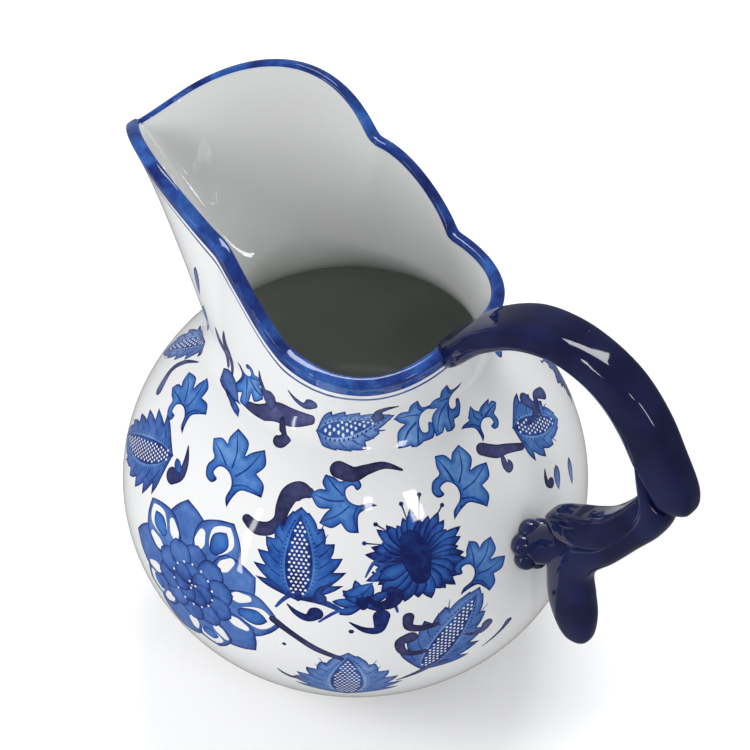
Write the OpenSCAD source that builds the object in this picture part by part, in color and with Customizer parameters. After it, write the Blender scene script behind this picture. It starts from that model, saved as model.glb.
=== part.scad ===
// Porcelain jug: a globe body on a foot ring, a high scalloped spout and a scrolled strap handle.
// The origin is on the table under the middle of the foot. The handle points to +X, the lip to -X, +Z is up.

/* [Body] */
// Widest diameter of the globe
body_d = 150; // [140:1:160]
// Height of the widest line above the table
belly_z = 62; // [60:0.5:66]
// Depth of the lower half of the globe, taken as an ellipse
lower_h = 65; // [64:0.5:68]
// Height of the upper half of the globe, taken as an ellipse
upper_h = 68.5; // [66:0.5:70]
// Thickness of the porcelain wall
wall = 4; // [3:0.5:5]

/* [Foot ring] */
// Outer diameter of the foot ring
foot_d = 78; // [70:1:84]
// Width of the foot ring's edge
foot_edge = 6; // [5:0.5:8]
// Radius of the rounding on the foot ring's bottom edge
foot_round = 1.5; // [1:0.25:2]

/* [Neck and spout] */
// Radius of the neck where it leaves the shoulder, at the sides and back
neck_r = 39.6; // [38:0.2:41]
// Reach of the neck's root towards the lip
neck_front = 51; // [48:1:53]
// Radius of the round opening in the top of the globe
mouth_r = 35.4; // [34:0.2:36]
// Lean of the wall at the root: share of the height that rises straight up
rise = 0.45; // [0.3:0.05:0.6]
// Flare of the wall under the rim
flare = 0.35; // [0.25:0.05:0.45]

/* [Rim] */
// Height of the rounded rim above the plain wall
rim_h = 3.5; // [3:0.25:4.5]
// How far the rounded rim stands out from the wall
rim_proud = 0.6; // [0.3:0.1:1]

/* [Handle] */
// Gap that the joining slip fills between two pieces
slip = 0.1; // [0.05:0.05:0.2]
// Squareness of the strap's section: small is crisp, 1 is an oval
strap_edge = 0.55; // [0.45:0.05:1]
// Squareness of the lower, rounder strips
root_edge = 0.8; // [0.6:0.05:1]

/* [Hidden] */

white = [0.88, 0.89, 0.91];
band_blue = [0.22, 0.32, 0.68];
cobalt = [0.05, 0.06, 0.22];

body_r = body_d / 2;
foot_r = foot_d / 2;
arc_steps = 22;
neck_rows = 14;
lobe_steps = [6, 16, 8, 12];
ring_points = 24;
strip_steps = 4;

// How the wall of the spout leaves its root: towards the lip it rises less and leans out more.
front_rise = 0.1;
front_lean = 0.25;
// How the wall comes up under the rim: along the way from its root, and pushed outwards.
rim_follow = 0.6;
rim_push_share = 0.3;
rim_push = 3;
front_flare_loss = 0.05;

// The rim from the lip to the handle on one side, as four Bezier curves that meet at its points.
rim_curves = [
    [[-100, 0, 149.5], [-100, 3.5, 149.8], [-96, 7.5, 155], [-90.5, 11, 161.5]],
    [[-90.5, 11, 161.5], [-82, 20.5, 173.5], [-58, 45, 191], [-27, 36, 166.8]],
    [[-27, 36, 166.8], [-17, 40, 165.5], [-3, 42, 151], [4.2, 39, 145.3]],
    [[4.2, 39, 145.3], [22, 41, 143], [40.5, 31, 141], [40.5, 0, 150.5]]
];

// Handle strips. Each row is a section: [x, z, direction of travel, half depth, half width].
arm_rows = [
    [41.2, 148.6, 28, 4.6, 9.5], [49.5, 158.8, 40, 4.4, 9.2], [62, 168, 22, 4.4, 8.6],
    [75, 171.8, 4, 4.8, 7.6], [86.6, 170.9, -14, 6, 6.7], [96.5, 166.8, -34, 7.3, 6],
    [104.8, 159.4, -47, 8, 5.4], [111.3, 150.8, -53, 8.2, 5], [117, 142.8, -55, 7.8, 4.5],
    [120.2, 138, -56, 6, 3.8], [122, 135.2, -56, 2.6, 2]
];
stem_rows = [
    [109.62, 139.66, 221.5, 6, 4.8], [113, 132.4, 258, 5.6, 5], [111.6, 124.6, 251, 4.8, 5],
    [106.2, 114.4, 242, 3.8, 5], [99.2, 103.6, 234, 3.9, 5], [91.2, 95.6, 233, 5.4, 4.9]
];
tail_rows = [
    [91.2, 95.6, 233, 5.4, 4.9], [87.2, 88, 256, 7.8, 4.7], [88, 79, 272, 8.5, 4.5],
    [89.7, 70.5, 279, 8.6, 4.3], [91.6, 62.8, 281, 6.8, 3.7], [92.6, 58.6, 282, 4.4, 2.8],
    [93, 56.8, 282, 1.4, 1.2]
];
curl_rows = [
    [101.34, 120.78, 240, 3.6, 4.6], [96.54, 113.68, 228, 4.2, 5], [91.84, 108.98, 213, 4.6, 5.2],
    [85.34, 104.98, 207, 4.6, 5.1], [79.94, 102.18, 206, 4.2, 4.5], [77.14, 100.78, 206, 1.8, 1.8]
];
link_rows = [[74.6, 85.2, 45, 4.2, 4.4], [76.33, 87.03, 42, 3.4, 3.6], [77.53, 88.13, 40, 3.2, 3.4]];

// The sprig: a lobed dome on the globe. Its middle [y, z], half width and half height, depth and lobes.
sprig_at = [0, 84.5];
sprig_half = [8, 9.5];
sprig_deep = 6.5;
sprig_edge = 0.6;
lobe_count = 6;
lobe_depth = 0.08;
dome_rings = 6;
dome_points = 36;

// ---- shared shape functions ----

function bezier(p, t) =
    pow(1 - t, 3) * p[0] + 3 * pow(1 - t, 2) * t * p[1] + 3 * (1 - t) * t * t * p[2] + pow(t, 3) * p[3];
function unit(v) = v / norm(v);
function flip_y(p) = [p[0], -p[1], p[2]];

// Radius of the globe's outer face at a height, and the height of its shoulder at a radius.
function globe_r(z) = body_r * sqrt(max(0, 1 - pow((z - belly_z) / (z > belly_z ? upper_h : lower_h), 2)));
function shoulder_z(r) = belly_z + upper_h * sqrt(1 - pow(r / body_r, 2));

// Points of an ellipse arc in the half plane, from one angle to another.
function arc(rx, rz, from, to) =
    [for (i = [0:arc_steps]) let(a = from + (to - from) * i / arc_steps)
        [rx * cos(a), belly_z + rz * sin(a)]];

// Smooth pass through rows of numbers.
function through(a, b, c, d, t) =
    0.5 * (2 * b + (c - a) * t + (2 * a - 5 * b + 4 * c - d) * t * t + (3 * b - a - 3 * c + d) * t * t * t);
function smooth_rows(rows, n) = let(last = len(rows) - 1) [
    for (i = [0:last - 1], k = [0:n - 1])
        through(rows[max(i - 1, 0)], rows[i], rows[i + 1], rows[min(i + 2, last)], k / n),
    rows[last]
];

function power(v, e) = sign(v) * pow(abs(v), e);
function section(row, e) = [for (j = [0:ring_points - 1]) let(
    a = 360 * j / ring_points,
    across = row[3] * power(cos(a), e),
    side = row[4] * power(sin(a), e)
) [row[0] - sin(row[2]) * across, side, row[1] + cos(row[2]) * across]];

// Faces of stacked rings of n points, closed at both ends.
function stack_faces(rings, n) = concat(
    [[for (j = [n - 1:-1:0]) j]],
    [for (i = [0:rings - 2], j = [0:n - 1]) let(k = (j + 1) % n, a = i * n, b = a + n)
        each [[a + j, a + k, b + k], [a + j, b + k, b + j]]],
    [[for (j = [0:n - 1]) (rings - 1) * n + j]]
);

module strip(rows, edge) {
    smooth = smooth_rows(rows, strip_steps);
    polyhedron([for (row = smooth) each section(row, edge)], stack_faces(len(smooth), ring_points));
}

// ---- rim and wall of the spout ----

rim_side = [for (c = [0:3], k = [0:lobe_steps[c] - 1]) bezier(rim_curves[c], k / lobe_steps[c])];
rim_end = rim_curves[3][3];
rim_count = 2 * len(rim_side);
rim = concat(rim_side, [rim_end], [for (i = [len(rim_side) - 1:-1:1]) flip_y(rim_side[i])]);

// The wall over one rim point: a Bezier curve that leaves the root upwards and flares to the rim.
function plan_angle(p) = atan2(p[1], p[0]);
function root_point(a) = let(r = 1 / sqrt(pow(cos(a) / (cos(a) < 0 ? neck_front : neck_r), 2)
    + pow(sin(a) / neck_r, 2))) [r * cos(a), r * sin(a), shoulder_z(r) + slip];
function wall_curve(p) = let(
    a = plan_angle(p),
    front = max(0, -cos(a)),
    root = root_point(a),
    d = p - root,
    reach = norm([d[0], d[1]]),
    up = [0, 0, d[2]] * (rise - (rise - front_rise) * front) + [d[0], d[1], 0] * front_lean * front,
    out = d * rim_follow + [cos(a), sin(a), 0] * (reach * rim_push_share + rim_push)
) [root, root + up, p - out * (flare - front_flare_loss * front), p];

wall_curves = [for (p = rim) wall_curve(p)];
function wall_at(i, t) = bezier(wall_curves[(i + rim_count) % rim_count], t);
function wall_normal(i, t) = let(
    along = wall_at(i + 1, t) - wall_at(i - 1, t),
    up = wall_at(i, min(1, t + 0.02)) - wall_at(i, max(0, t - 0.02))
) unit(cross(up, along));
function wall_inside(i, t) = wall_at(i, t) - wall * wall_normal(i, t);

// Where the plain wall stops, as a share of each curve, so that the rounded rim is rim_h high.
rim_start = [for (c = wall_curves) 1 - rim_h / norm(c[3] - c[0])];

// The inside of the root stands on the shoulder, not in it.
function inside_root(i) = let(p = wall_inside(i, 0), r = norm([p[0], p[1]]))
    [p[0], p[1], shoulder_z(r) + slip];

function neck_ring(row) = let(s = row / neck_rows) concat(
    [for (i = [0:rim_count - 1]) wall_at(i, s * rim_start[i])],
    [for (i = [0:rim_count - 1]) row == 0 ? inside_root(i) : wall_inside(i, s * rim_start[i])]
);
neck_points = [for (row = [0:neck_rows]) each neck_ring(row)];
neck_faces = let(n = rim_count, m = 2 * n, top = neck_rows * m) concat(
    [for (row = [0:neck_rows - 1], i = [0:n - 1]) let(k = (i + 1) % n, a = row * m, b = a + m)
        each [[a + i, a + k, b + k], [a + i, b + k, b + i],
              [a + n + i, b + n + k, a + n + k], [a + n + i, b + n + i, b + n + k]]],
    [for (i = [0:n - 1]) let(k = (i + 1) % n)
        each [[i, n + k, k], [i, n + i, n + k],
              [top + i, top + k, top + n + k], [top + i, top + n + k, top + n + i]]]
);

// Section of the rounded rim: [share out from the wall's middle, share up], from outside to inside.
rim_profile = [[1, 0], [1.1, 0.35], [1, 0.75], [0.5, 0.97], [-0.2, 1], [-0.8, 0.8], [-1.02, 0.4], [-1, 0]];
function rim_ring(i) = let(
    t = rim_start[i],
    outer = wall_at(i, t),
    inner = wall_inside(i, t),
    middle = (outer + inner) / 2,
    half = (outer - inner) / 2,
    up = wall_at(i, 1) - outer,
    grow = 1 + rim_proud / wall
) [for (q = rim_profile) middle + half * (abs(q[0]) > 1 ? q[0] * grow : q[0]) + up * q[1]];
rim_points = [for (i = [0:rim_count - 1]) each rim_ring(i)];
rim_faces = let(n = len(rim_profile)) [for (i = [0:rim_count - 1], j = [0:n - 1]) let(
    k = (j + 1) % n, a = i * n, b = ((i + 1) % rim_count) * n
) each [[a + j, b + j, a + k], [a + k, b + j, b + k]]];

// ---- sprig that joins the handle to the belly ----

function sprig_point(share, a, proud) = let(
    lobe = 1 + lobe_depth * cos(lobe_count * a),
    y = sprig_at[0] + sprig_half[0] * share * lobe * cos(a),
    z = sprig_at[1] + sprig_half[1] * share * lobe * sin(a),
    r = globe_r(z)
) [sqrt(r * r - y * y) + slip + proud, y, z];
function dome_ring(share, proud) =
    [for (j = [0:dome_points - 1]) sprig_point(share, 360 * j / dome_points, proud)];
function dome_proud(share) = max(sprig_edge, sprig_deep * sqrt(1 - pow(share, 2)));

// ---- pieces ----

// Height of the globe's underside at a radius.
function globe_profile_z(r) = belly_z - lower_h * sqrt(1 - pow(r / body_r, 2));

module foot_ring() {
    seat = globe_profile_z(foot_r);
    inner_r = foot_r - foot_edge;
    color(white) rotate_extrude($fn = 120) polygon(concat(
        [[inner_r + foot_round, 0], [foot_r - foot_round, 0], [foot_r, foot_round], [foot_r, seat - slip]],
        [for (i = [1:4]) let(r = foot_r - foot_edge * i / 4) [r, globe_profile_z(r) - slip]],
        [[inner_r, foot_round]]
    ));
}

module body_globe() {
    flat_r = foot_r - foot_edge - wall;
    low = acos(flat_r / body_r);
    high = acos(mouth_r / body_r);
    floor_z = belly_z - lower_h * sin(low);
    outside = concat(arc(body_r, lower_h, -low, 0), arc(body_r, upper_h, 0, high));
    inside = concat(arc(body_r - wall, upper_h - wall, acos(mouth_r / (body_r - wall)), 0),
        arc(body_r - wall, lower_h - wall, 0, -low));
    color(white) rotate_extrude($fn = 120)
        polygon(concat([[0, floor_z]], outside, inside, [[0, floor_z + wall]]));
}

module neck_spout() {
    color(white) polyhedron(neck_points, neck_faces);
}

module rim_edge() {
    color(band_blue) polyhedron(rim_points, rim_faces);
}

module handle_arm() {
    color(cobalt) strip(arm_rows, strap_edge);
}

module handle_stem() {
    color(cobalt) strip(stem_rows, root_edge);
}

module handle_tail_leaf() {
    start = tail_rows[0][2];
    color(cobalt) translate([slip * cos(start), 0, slip * sin(start)]) strip(tail_rows, root_edge);
}

module handle_curl_leaf() {
    color(cobalt) strip(curl_rows, strap_edge);
}

module handle_sprig() {
    shares = [for (i = [0:dome_rings]) i / dome_rings];
    front = [for (i = [1:dome_rings]) each dome_ring(shares[i], dome_proud(shares[i]))];
    back = [for (i = [dome_rings:-1:1]) each dome_ring(shares[i], 0)];
    color(cobalt) polyhedron(concat(front, back), stack_faces(2 * dome_rings, dome_points));
    color(cobalt) strip(link_rows, 1);
}

foot_ring();
body_globe();
neck_spout();
rim_edge();
handle_arm();
handle_stem();
handle_curl_leaf();
handle_tail_leaf();
handle_sprig();
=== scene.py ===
import bpy
import numpy as np
from math import cos, pi, radians, sin, tau
from mathutils import Matrix, Vector, geometry


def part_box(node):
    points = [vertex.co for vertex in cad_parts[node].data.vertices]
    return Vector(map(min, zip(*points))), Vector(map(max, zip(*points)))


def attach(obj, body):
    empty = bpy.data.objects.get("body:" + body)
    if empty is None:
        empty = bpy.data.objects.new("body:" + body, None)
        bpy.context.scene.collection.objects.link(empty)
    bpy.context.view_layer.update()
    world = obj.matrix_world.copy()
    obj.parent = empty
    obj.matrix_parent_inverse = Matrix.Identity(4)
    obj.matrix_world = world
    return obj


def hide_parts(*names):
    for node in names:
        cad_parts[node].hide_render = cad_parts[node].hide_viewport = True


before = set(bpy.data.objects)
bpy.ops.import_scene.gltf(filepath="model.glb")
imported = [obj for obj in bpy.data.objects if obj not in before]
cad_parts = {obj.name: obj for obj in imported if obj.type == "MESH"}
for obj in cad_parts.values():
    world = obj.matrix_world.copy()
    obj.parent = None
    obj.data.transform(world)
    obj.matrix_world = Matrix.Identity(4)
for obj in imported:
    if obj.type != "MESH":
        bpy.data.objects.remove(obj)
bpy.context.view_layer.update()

# The body is one wall of cast white porcelain: a globe with a flaring, scalloped spout luted to its
# shoulder. The join is sponged to a soft hollow, and the wall is one thickness from floor to rim.
MM = 0.001
globe_low, globe_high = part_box("body_globe")
GLOBE_RADIUS = (globe_high.x - globe_low.x) / 2 / MM
BELLY_HEIGHT = 62.0
LOWER_DEPTH = 65.0
UPPER_DEPTH = 68.5
WALL = 4.0
FOOT_RADIUS = 39.0
FLOOR_RADIUS = 29.0
NECK_RADIUS = 39.6
NECK_FRONT = 51.0
JOIN_REACH = 6.0
RIM_HEIGHT = 3.5
RIM_POINTS = 360
LIP_SOFTNESS = 7.0
RIM_CURVES = [
    [[-100, 0, 149.5], [-100, 3.5, 149.8], [-96, 7.5, 155], [-90.5, 11, 161.5]],
    [[-90.5, 11, 161.5], [-82, 20.5, 173.5], [-58, 45, 191], [-27, 36, 166.8]],
    [[-27, 36, 166.8], [-17, 40, 165.5], [-3, 42, 151], [4.2, 39, 145.3]],
    [[4.2, 39, 145.3], [22, 41, 143], [40.5, 31, 141], [40.5, 0, 150.5]],
]


def cubic(p0, p1, p2, p3, t):
    """A Bezier curve at t."""
    s = 1 - t
    return s**3 * p0 + 3 * s * s * t * p1 + 3 * s * t * t * p2 + t**3 * p3


# The rim from the lip round to the handle, as radius and height against the angle from the handle.
rim_steps = np.linspace(0, 1, 200)[:, None]
rim_line = np.vstack([cubic(*np.array(c, float), rim_steps) for c in RIM_CURVES])[::-1]
rim_angles = np.linspace(0, pi, 1441)
line_angles = np.arctan2(rim_line[:, 1], rim_line[:, 0])
rim_radius = np.interp(rim_angles, line_angles, np.hypot(rim_line[:, 0], rim_line[:, 1]))
rim_height = np.interp(rim_angles, line_angles, rim_line[:, 2])


def softened(values, spread):
    """The same line with its points and scallops smoothed away, for the wall under the rim."""
    sigma = spread / 180 * (len(values) - 1)
    reach = np.arange(-int(3 * sigma), int(3 * sigma) + 1)
    weight = np.exp(-0.5 * (reach / sigma) ** 2)
    mirrored = np.concatenate([values[:0:-1], values, values[-2::-1]])
    start = len(values) - 1
    return np.convolve(mirrored, weight / weight.sum(), "same")[start:start + len(values)]


rim_radius, rim_height = softened(rim_radius, 1.2), softened(rim_height, 1.2)
soft_radius = softened(rim_radius, LIP_SOFTNESS)
soft_height = softened(rim_height, LIP_SOFTNESS)
FOOT_SLOPE = -np.arccos(FOOT_RADIUS / GLOBE_RADIUS)


def join_slope(angle):
    """Slope angle on the globe where the neck stands, at an angle round the jug."""
    c, s = np.cos(angle), np.sin(angle)
    root = 1 / np.sqrt((c / np.where(c < 0, NECK_FRONT, NECK_RADIUS)) ** 2 + (s / NECK_RADIUS) ** 2)
    return np.arccos(root / GLOBE_RADIUS)


def globe_point(slope):
    depth = np.where(slope > 0, UPPER_DEPTH, LOWER_DEPTH)
    return np.array([GLOBE_RADIUS * np.cos(slope), BELLY_HEIGHT + depth * np.sin(slope)])


def neck_curve(angle):
    """The four control points of the neck's wall in its upright plane, and the share under the rim."""
    m = np.abs((angle + pi) % tau - pi)
    front = np.maximum(0, -np.cos(m))
    root = globe_point(join_slope(m))
    tip = np.array([np.interp(m, rim_angles, rim_radius), np.interp(m, rim_angles, rim_height)])
    soft = np.array([np.interp(m, rim_angles, soft_radius), np.interp(m, rim_angles, soft_height)])
    way = soft - root
    first = root + np.array([0.25 * front * way[0], way[1] * (0.45 - 0.35 * front)])
    flare = np.array([0.6 * way[0] + 0.3 * np.abs(way[0]) + 3, 0.6 * way[1]])
    second = (tip + soft) / 2 - flare * (0.35 - 0.05 * front)
    return root, first, second, tip, 1 - RIM_HEIGHT / np.hypot(*(tip - root))


def profile(angle, level):
    """Radius and height of the body's outer face. Level is 0 at the foot, 1 at the join, 2 under the rim."""
    root, first, second, tip, top = neck_curve(angle)
    slope = join_slope(angle)
    reach = slope - FOOT_SLOPE
    t = np.clip(level - 1, 0, None) * top
    plain = np.where(level <= 1, globe_point(FOOT_SLOPE + reach * np.minimum(level, 1)),
                     cubic(root, first, second, tip, t))
    low_slope = slope - JOIN_REACH / GLOBE_RADIUS
    low = globe_point(low_slope)
    low_way = np.array([-GLOBE_RADIUS * np.sin(low_slope), UPPER_DEPTH * np.cos(low_slope)])
    low_way = low_way / np.hypot(*low_way)
    t_high = JOIN_REACH / (3 * np.hypot(*(first - root)))
    high = cubic(root, first, second, tip, t_high)
    s_high = 1 - t_high
    high_way = (s_high**2 * (first - root) + 2 * s_high * t_high * (second - first)
                + t_high**2 * (tip - second))
    high_way = high_way / np.hypot(*high_way)
    low_level = 1 - JOIN_REACH / GLOBE_RADIUS / reach
    high_level = 1 + t_high / top
    share = np.clip((level - low_level) / (high_level - low_level), 0, 1)
    pull = JOIN_REACH * 0.55
    hollow = cubic(low, low + pull * low_way, high - pull * high_way, high, share)
    return np.where((level > low_level) & (level < high_level), hollow, plain)


def skin(angle, level):
    """Points of the body's outer face."""
    radius, height = profile(angle, level)
    return np.stack([radius * np.cos(angle), radius * np.sin(angle), height], -1)


def skin_normal(angle, level):
    step = 1e-3
    level = np.clip(level, 2 * step, 2 - 2 * step)
    across = skin(angle + step, level) - skin(angle - step, level)
    upward = skin(angle, level + step) - skin(angle, level - step)
    normal = np.cross(across, upward)
    return normal / np.linalg.norm(normal, axis=-1, keepdims=True)


def neck_length(angle):
    """Length of the neck's wall in mm from the join to the rim."""
    root, _, _, tip, _ = neck_curve(angle)
    return np.hypot(*(tip - root)) * 1.04


def globe_length(angle):
    return (join_slope(angle) - FOOT_SLOPE) * (GLOBE_RADIUS - 3)


# The decoration is brushed in cobalt on the fired clay, under the glaze: outlines and washes of flowers,
# notched leaves and grey-blue scrolls. Every stroke is an outline in mm that is laid on the wall.
SEAM = -200.0
GLOBE_SPAN = 150.0
NECK_SPAN = 50.0
DEGREE = 1.15
BRUSH_STEP = 0.8
strokes = []


def smooth_line(points, closed=False, step=BRUSH_STEP):
    """A smooth line through points; a point written twice is a corner."""
    p = np.array(points, float)
    n = len(p)
    line = []
    for i in range(n if closed else n - 1):
        a, b = p[i], p[(i + 1) % n]
        if np.allclose(a, b):
            continue
        before = p[i - 1] if closed or i > 0 else a
        after = p[(i + 2) % n] if closed or i + 2 < n else b
        count = max(2, int(np.ceil(np.hypot(*(b - a)[:2]) / step)))
        t = (np.arange(count) / count)[:, None]
        line.append(0.5 * (2 * a + (b - before) * t + (2 * before - 5 * a + 4 * b - after) * t**2
                           + (3 * a - before - 3 * b + after) * t**3))
    if not closed:
        line.append(p[-1:])
    return np.vstack(line)


def ribbon(points, step=BRUSH_STEP):
    """The outline of a brush stroke through points, each [x, y, half width]."""
    line = smooth_line(points, step=step)
    way = np.gradient(line[:, :2], axis=0)
    way = way / np.linalg.norm(way, axis=1, keepdims=True)
    side = np.stack([-way[:, 1], way[:, 0]], 1) * line[:, 2:3]
    caps = []
    for end, forward in ((-1, 1), (0, -1)):
        half = line[end, 2]
        turn = np.linspace(0, pi, max(3, int(half * 5)))[1:-1, None]
        caps.append(line[end, :2] + side[end] * forward * np.cos(turn)
                    + way[end] * forward * half * np.sin(turn))
    return np.vstack([line[:, :2] + side, caps[0], (line[:, :2] - side)[::-1], caps[1]])


def spot(azimuth, level, turn=0.0, flip=1.0):
    """A place on the body: returns a function that lays a flat shape in mm there, turned clockwise."""
    turn, angle = radians(turn), radians(azimuth)

    def place(shape):
        x, y = shape[:, 0] * flip, shape[:, 1]
        east, north = x * cos(turn) + y * sin(turn), y * cos(turn) - x * sin(turn)
        if level > 1:
            radius = profile(np.array(angle), np.array(level))[0]
            found = angle + east / radius
            up = level + north / neck_length(found)
            up = np.where(up < 1, 1 - (1 - up) * neck_length(found) / globe_length(found), up)
        else:
            slope = FOOT_SLOPE + (join_slope(np.array(angle)) - FOOT_SLOPE) * level
            out = np.array([cos(angle) * cos(slope), sin(angle) * cos(slope), sin(slope)])
            right = np.array([-sin(angle), cos(angle), 0])
            above = np.cross(out, right)
            far = np.maximum(np.hypot(east, north), 1e-9)
            bend = far / (GLOBE_RADIUS - 3)
            ray = (np.cos(bend)[:, None] * out
                   + (np.sin(bend) / far)[:, None] * (east[:, None] * right + north[:, None] * above))
            found = np.arctan2(ray[:, 1], ray[:, 0])
            high = np.arcsin(np.clip(ray[:, 2], -1, 1)) - join_slope(found)
            up = np.where(high < 0, 1 + high / (join_slope(found) - FOOT_SLOPE),
                          1 + high * GLOBE_RADIUS / neck_length(found))
        degrees = (np.degrees(found) - SEAM) % 360
        return np.stack([degrees, np.clip(up, 0.01, 1.985)], 1)

    return place


def lay(place, shape, tone, tip_tone=None, indigo=0.0, edge=0.0, fill=True):
    """Adds one closed outline: its wash at the foot and tip, its greyness and how dark its edge is drawn."""
    ends = place(np.array([[0, shape[:, 1].min()], [0, shape[:, 1].max()]]))
    strokes.append(dict(line=place(shape), ends=ends, tone=tone, indigo=indigo, edge=edge, fill=fill,
                        tip_tone=tone if tip_tone is None else tip_tone))


def corners(points):
    """Points with a third value of 1 are corners, so they are written twice."""
    return [p[:2] for p in points for _ in range(2 if len(p) > 2 else 1)]


def scaled(points, size):
    return np.array(points, float) * size


TURNED_LEAF = corners([
    (0, 0, 1), (.07, .12), (.18, .23), (.31, .22), (.47, .17, 1), (.49, .33), (.38, .46, 1), (.49, .58),
    (.45, .77, 1), (.29, .72), (.20, .66, 1), (.22, .84), (.04, 1, 1), (-.06, .88), (-.07, .79, 1),
    (-.17, .86), (-.30, .84, 1), (-.28, .70), (-.24, .60), (-.33, .50), (-.33, .36), (-.24, .29),
    (-.16, .34), (-.22, .42), (-.14, .50), (-.03, .47), (.04, .38), (.05, .26), (-.02, .12)])
LEAF_VEINS = [[(.08, .28), (.24, .30), (.42, .22)], [(.10, .40), (.26, .52), (.41, .72)],
              [(.04, .50), (.08, .70), (.04, .92)], [(-.04, .52), (-.14, .66), (-.26, .80)]]


def turned_leaf(azimuth, level, turn, length, flip=1, wash=0.42):
    place = spot(azimuth, level, turn, flip)
    lay(place, smooth_line(scaled(TURNED_LEAF, length), closed=True), wash + 0.12, wash - 0.08, edge=0.8)
    for vein in LEAF_VEINS:
        tapered = [(x * length, y * length, w) for (x, y), w in zip(vein, (0.3, 0.24, 0.12))]
        lay(place, ribbon(tapered), 0.74, fill=False)


def notched_outline(length, width, teeth, bend, point=0.62):
    """A leaf's outline with forward-pointing teeth, its stalk at the start and its axis bent sideways."""
    sides = []
    for side in (1, -1):
        rim = [(0.0, 0.06, 0)]
        for k in range(teeth):
            for along, deep, sharp in ((k + 0.45, 0.98, 0), (k + 1.05, 1.16, 1), (k + 1.0, 0.84, 1)):
                t = min(0.05 + along / (teeth + 0.25) * 0.93, 0.985)
                rim.append((t, deep * sin(pi * t**point) ** 0.75, sharp))
        sides.append([(side * w * width, t * length, s) for t, w, s in rim])
    shape = sides[0] + [(0, length, 1)] + sides[1][::-1]
    bent = [(x + bend * length * (y / length) * (1 - y / length), y, s) for x, y, s in shape]
    return [p for x, y, s in bent for p in [(x, y)] * (2 if s else 1)]


def plain_leaf(length, width, bend):
    steps = np.linspace(0.0, 1.0, 9)
    half = width * np.sin(pi * steps**0.8) ** 0.8
    middle = bend * length * steps * (1 - steps)
    right = np.stack([middle + half, steps * length], 1)
    left = np.stack([middle - half, steps * length], 1)
    return smooth_line(np.vstack([right[:1], right, left[-1:], left[-2:0:-1]]), closed=True)


def spray_dots(place, rows, tone, size):
    """Small round dots of one size at [x, y] points."""
    turns = np.arange(6) * tau / 6
    ring = np.stack([np.cos(turns), np.sin(turns)], 1)
    for x, y in rows:
        lay(place, ring * size + [x, y], tone, fill=False)


def notched_leaf(azimuth, level, turn, length, width, teeth=5, bend=0.0, flip=1, wash=0.5, shade=0.0):
    """A notched leaf with a dark band down the middle that is laced with white dots."""
    place = spot(azimuth, level, turn, flip)
    outline = smooth_line(notched_outline(length, width, teeth, bend), closed=True)
    lay(place, outline, wash + 0.1, wash - 0.06, indigo=shade, edge=0.75)
    for side in (-1, 1):
        for k in range(teeth):
            t = 0.12 + 0.74 * k / teeth
            x0 = side * width * 0.42 + bend * length * t * (1 - t)
            reach = width * sin(pi * (t + 0.1) ** 0.62) ** 0.75
            vein = [(x0, t * length, 0.26), (x0 + side * reach * 0.24, (t + 0.06) * length, 0.2),
                    (x0 + side * reach * 0.4, (t + 0.13) * length, 0.1)]
            lay(place, ribbon(vein), min(wash + 0.26, 0.95), indigo=shade, fill=False)
    middle = plain_leaf(length * 0.94, width * 0.5, bend)
    lay(place, middle, wash - 0.16, wash - 0.1, indigo=shade, edge=0.3)
    lay(place, plain_leaf(length * 0.92, width * 0.34, bend), wash + 0.3, wash + 0.22, indigo=shade * 0.5)
    count = int(length / 1.35)
    lace, seams = [], []
    for k in range(2, count - 1):
        t = k / count
        axis = bend * length * t * (1 - t)
        half = width * 0.27 * sin(pi * t**0.8) ** 0.8
        shift = 0.5 * (k % 2)
        across = int(half / 0.72)
        lace += [(axis + (i + shift) * 1.4, t * length * 0.92) for i in range(-across, across + 1)
                 if abs((i + shift) * 1.4) < half]
        edge = width * 0.43 * sin(pi * t**0.8) ** 0.8
        seams += [(axis - edge, t * length * 0.94), (axis + edge, t * length * 0.94)]
    spray_dots(place, lace, 0.05, 0.42)
    spray_dots(place, seams, 0.86, 0.3)


def scroll(azimuth, level, turn, points, flip=1, tone=0.72, indigo=1.0):
    lay(spot(azimuth, level, turn, flip), ribbon(points), tone, tone - 0.08, indigo=indigo, edge=0.35)


def comma(azimuth, level, turn, length, head, flip=1, tone=0.72, indigo=1.0, curve=0.22):
    """A comma: a fine tail that swells into a round head, its spine bowed sideways."""
    points = [(0, 0, 0.25), (curve * length * 0.8, length * 0.3, head * 0.42),
              (curve * length, length * 0.62, head * 0.62), (0, length - head, head)]
    scroll(azimuth, level, turn, points, flip, tone, indigo)


def petal(inner, outer, width, tip=0.0):
    """A petal along y, its end pointed when tip is near 1."""
    span = outer - inner
    side = [(0.35 * width, inner), (0.86 * width, inner + 0.3 * span), (width, inner + 0.6 * span),
            (width * (0.8 - 0.25 * tip), inner + 0.84 * span)]
    return smooth_line(side + [(0, outer)] * 2 + [(-x, y) for x, y in side[::-1]], closed=True)


def turned(shape, angle):
    c, s = cos(angle), sin(angle)
    return shape @ np.array([[c, -s], [s, c]])


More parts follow.
